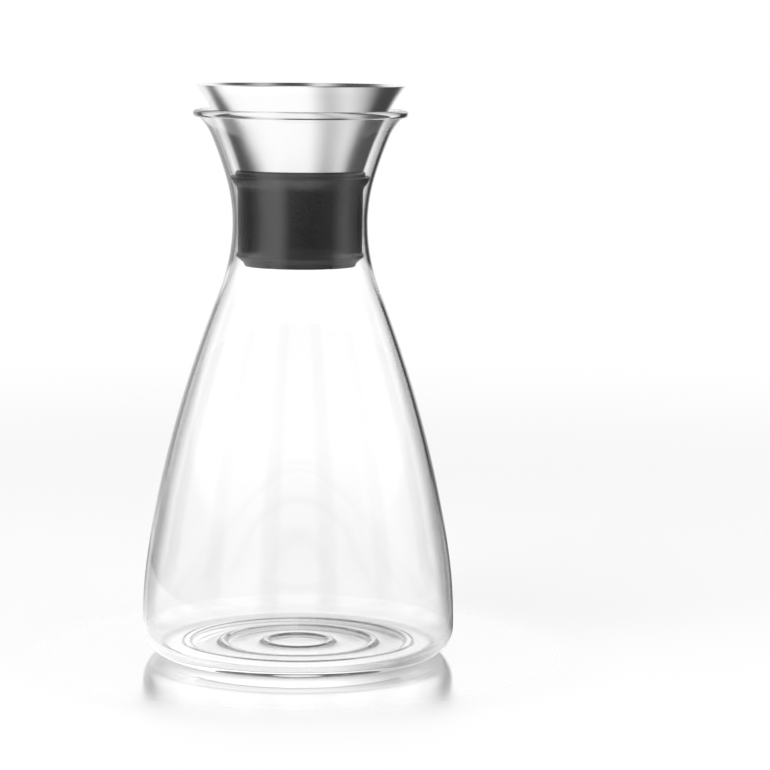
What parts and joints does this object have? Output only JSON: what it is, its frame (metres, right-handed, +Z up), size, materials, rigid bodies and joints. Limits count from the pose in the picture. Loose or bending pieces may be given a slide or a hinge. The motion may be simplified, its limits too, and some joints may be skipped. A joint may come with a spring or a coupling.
{
  "type": "carafe",
  "caption": "Clear glass serving carafe with a flared neck, and a steel pouring funnel with a rubber collar and a tilting lid that closes by its own weight.",
  "frame": {"origin": "centre of the base, on the surface that the carafe stands on", "axes": "+Z up along the carafe's axis; +X towards the side that the lid opens to, so it pours over +X; the lid's hinge lies along Y at the -X side"},
  "size_m": [0.148, 0.148, 0.2691],
  "materials": {
    "glass": "clear polished",
    "funnel_steel": "satin",
    "collar_rubber": "matte",
    "barrel_plastic": "matte",
    "pin_steel": "turned",
    "seal_rubber": "matte"
  },
  "bodies": {
    "carafe": {"glass_body": "glass"},
    "stopper": {"pour_funnel": "funnel_steel", "stopper_collar": "collar_rubber", "valve_barrel": "barrel_plastic", "clamp_ring": "barrel_plastic", "hinge_pin": "pin_steel"},
    "lid": {"lid_plate": "funnel_steel", "lid_carrier": "barrel_plastic", "lid_seal": "seal_rubber", "counterweight": "pin_steel", "weight_screw": "pin_steel"}
  },
  "joints": [
    {"name": "stopper_lift", "type": "slide", "parent": "carafe", "child": "stopper", "axis": [0, 0, 1], "range_m": [0, 0.09]},
    {"name": "lid_tilt", "type": "hinge", "parent": "stopper", "child": "lid", "pos_m": [-0.0224, 0, 0.2241], "axis": [0, -1, 0], "range_deg": [0, 40]}
  ]
}
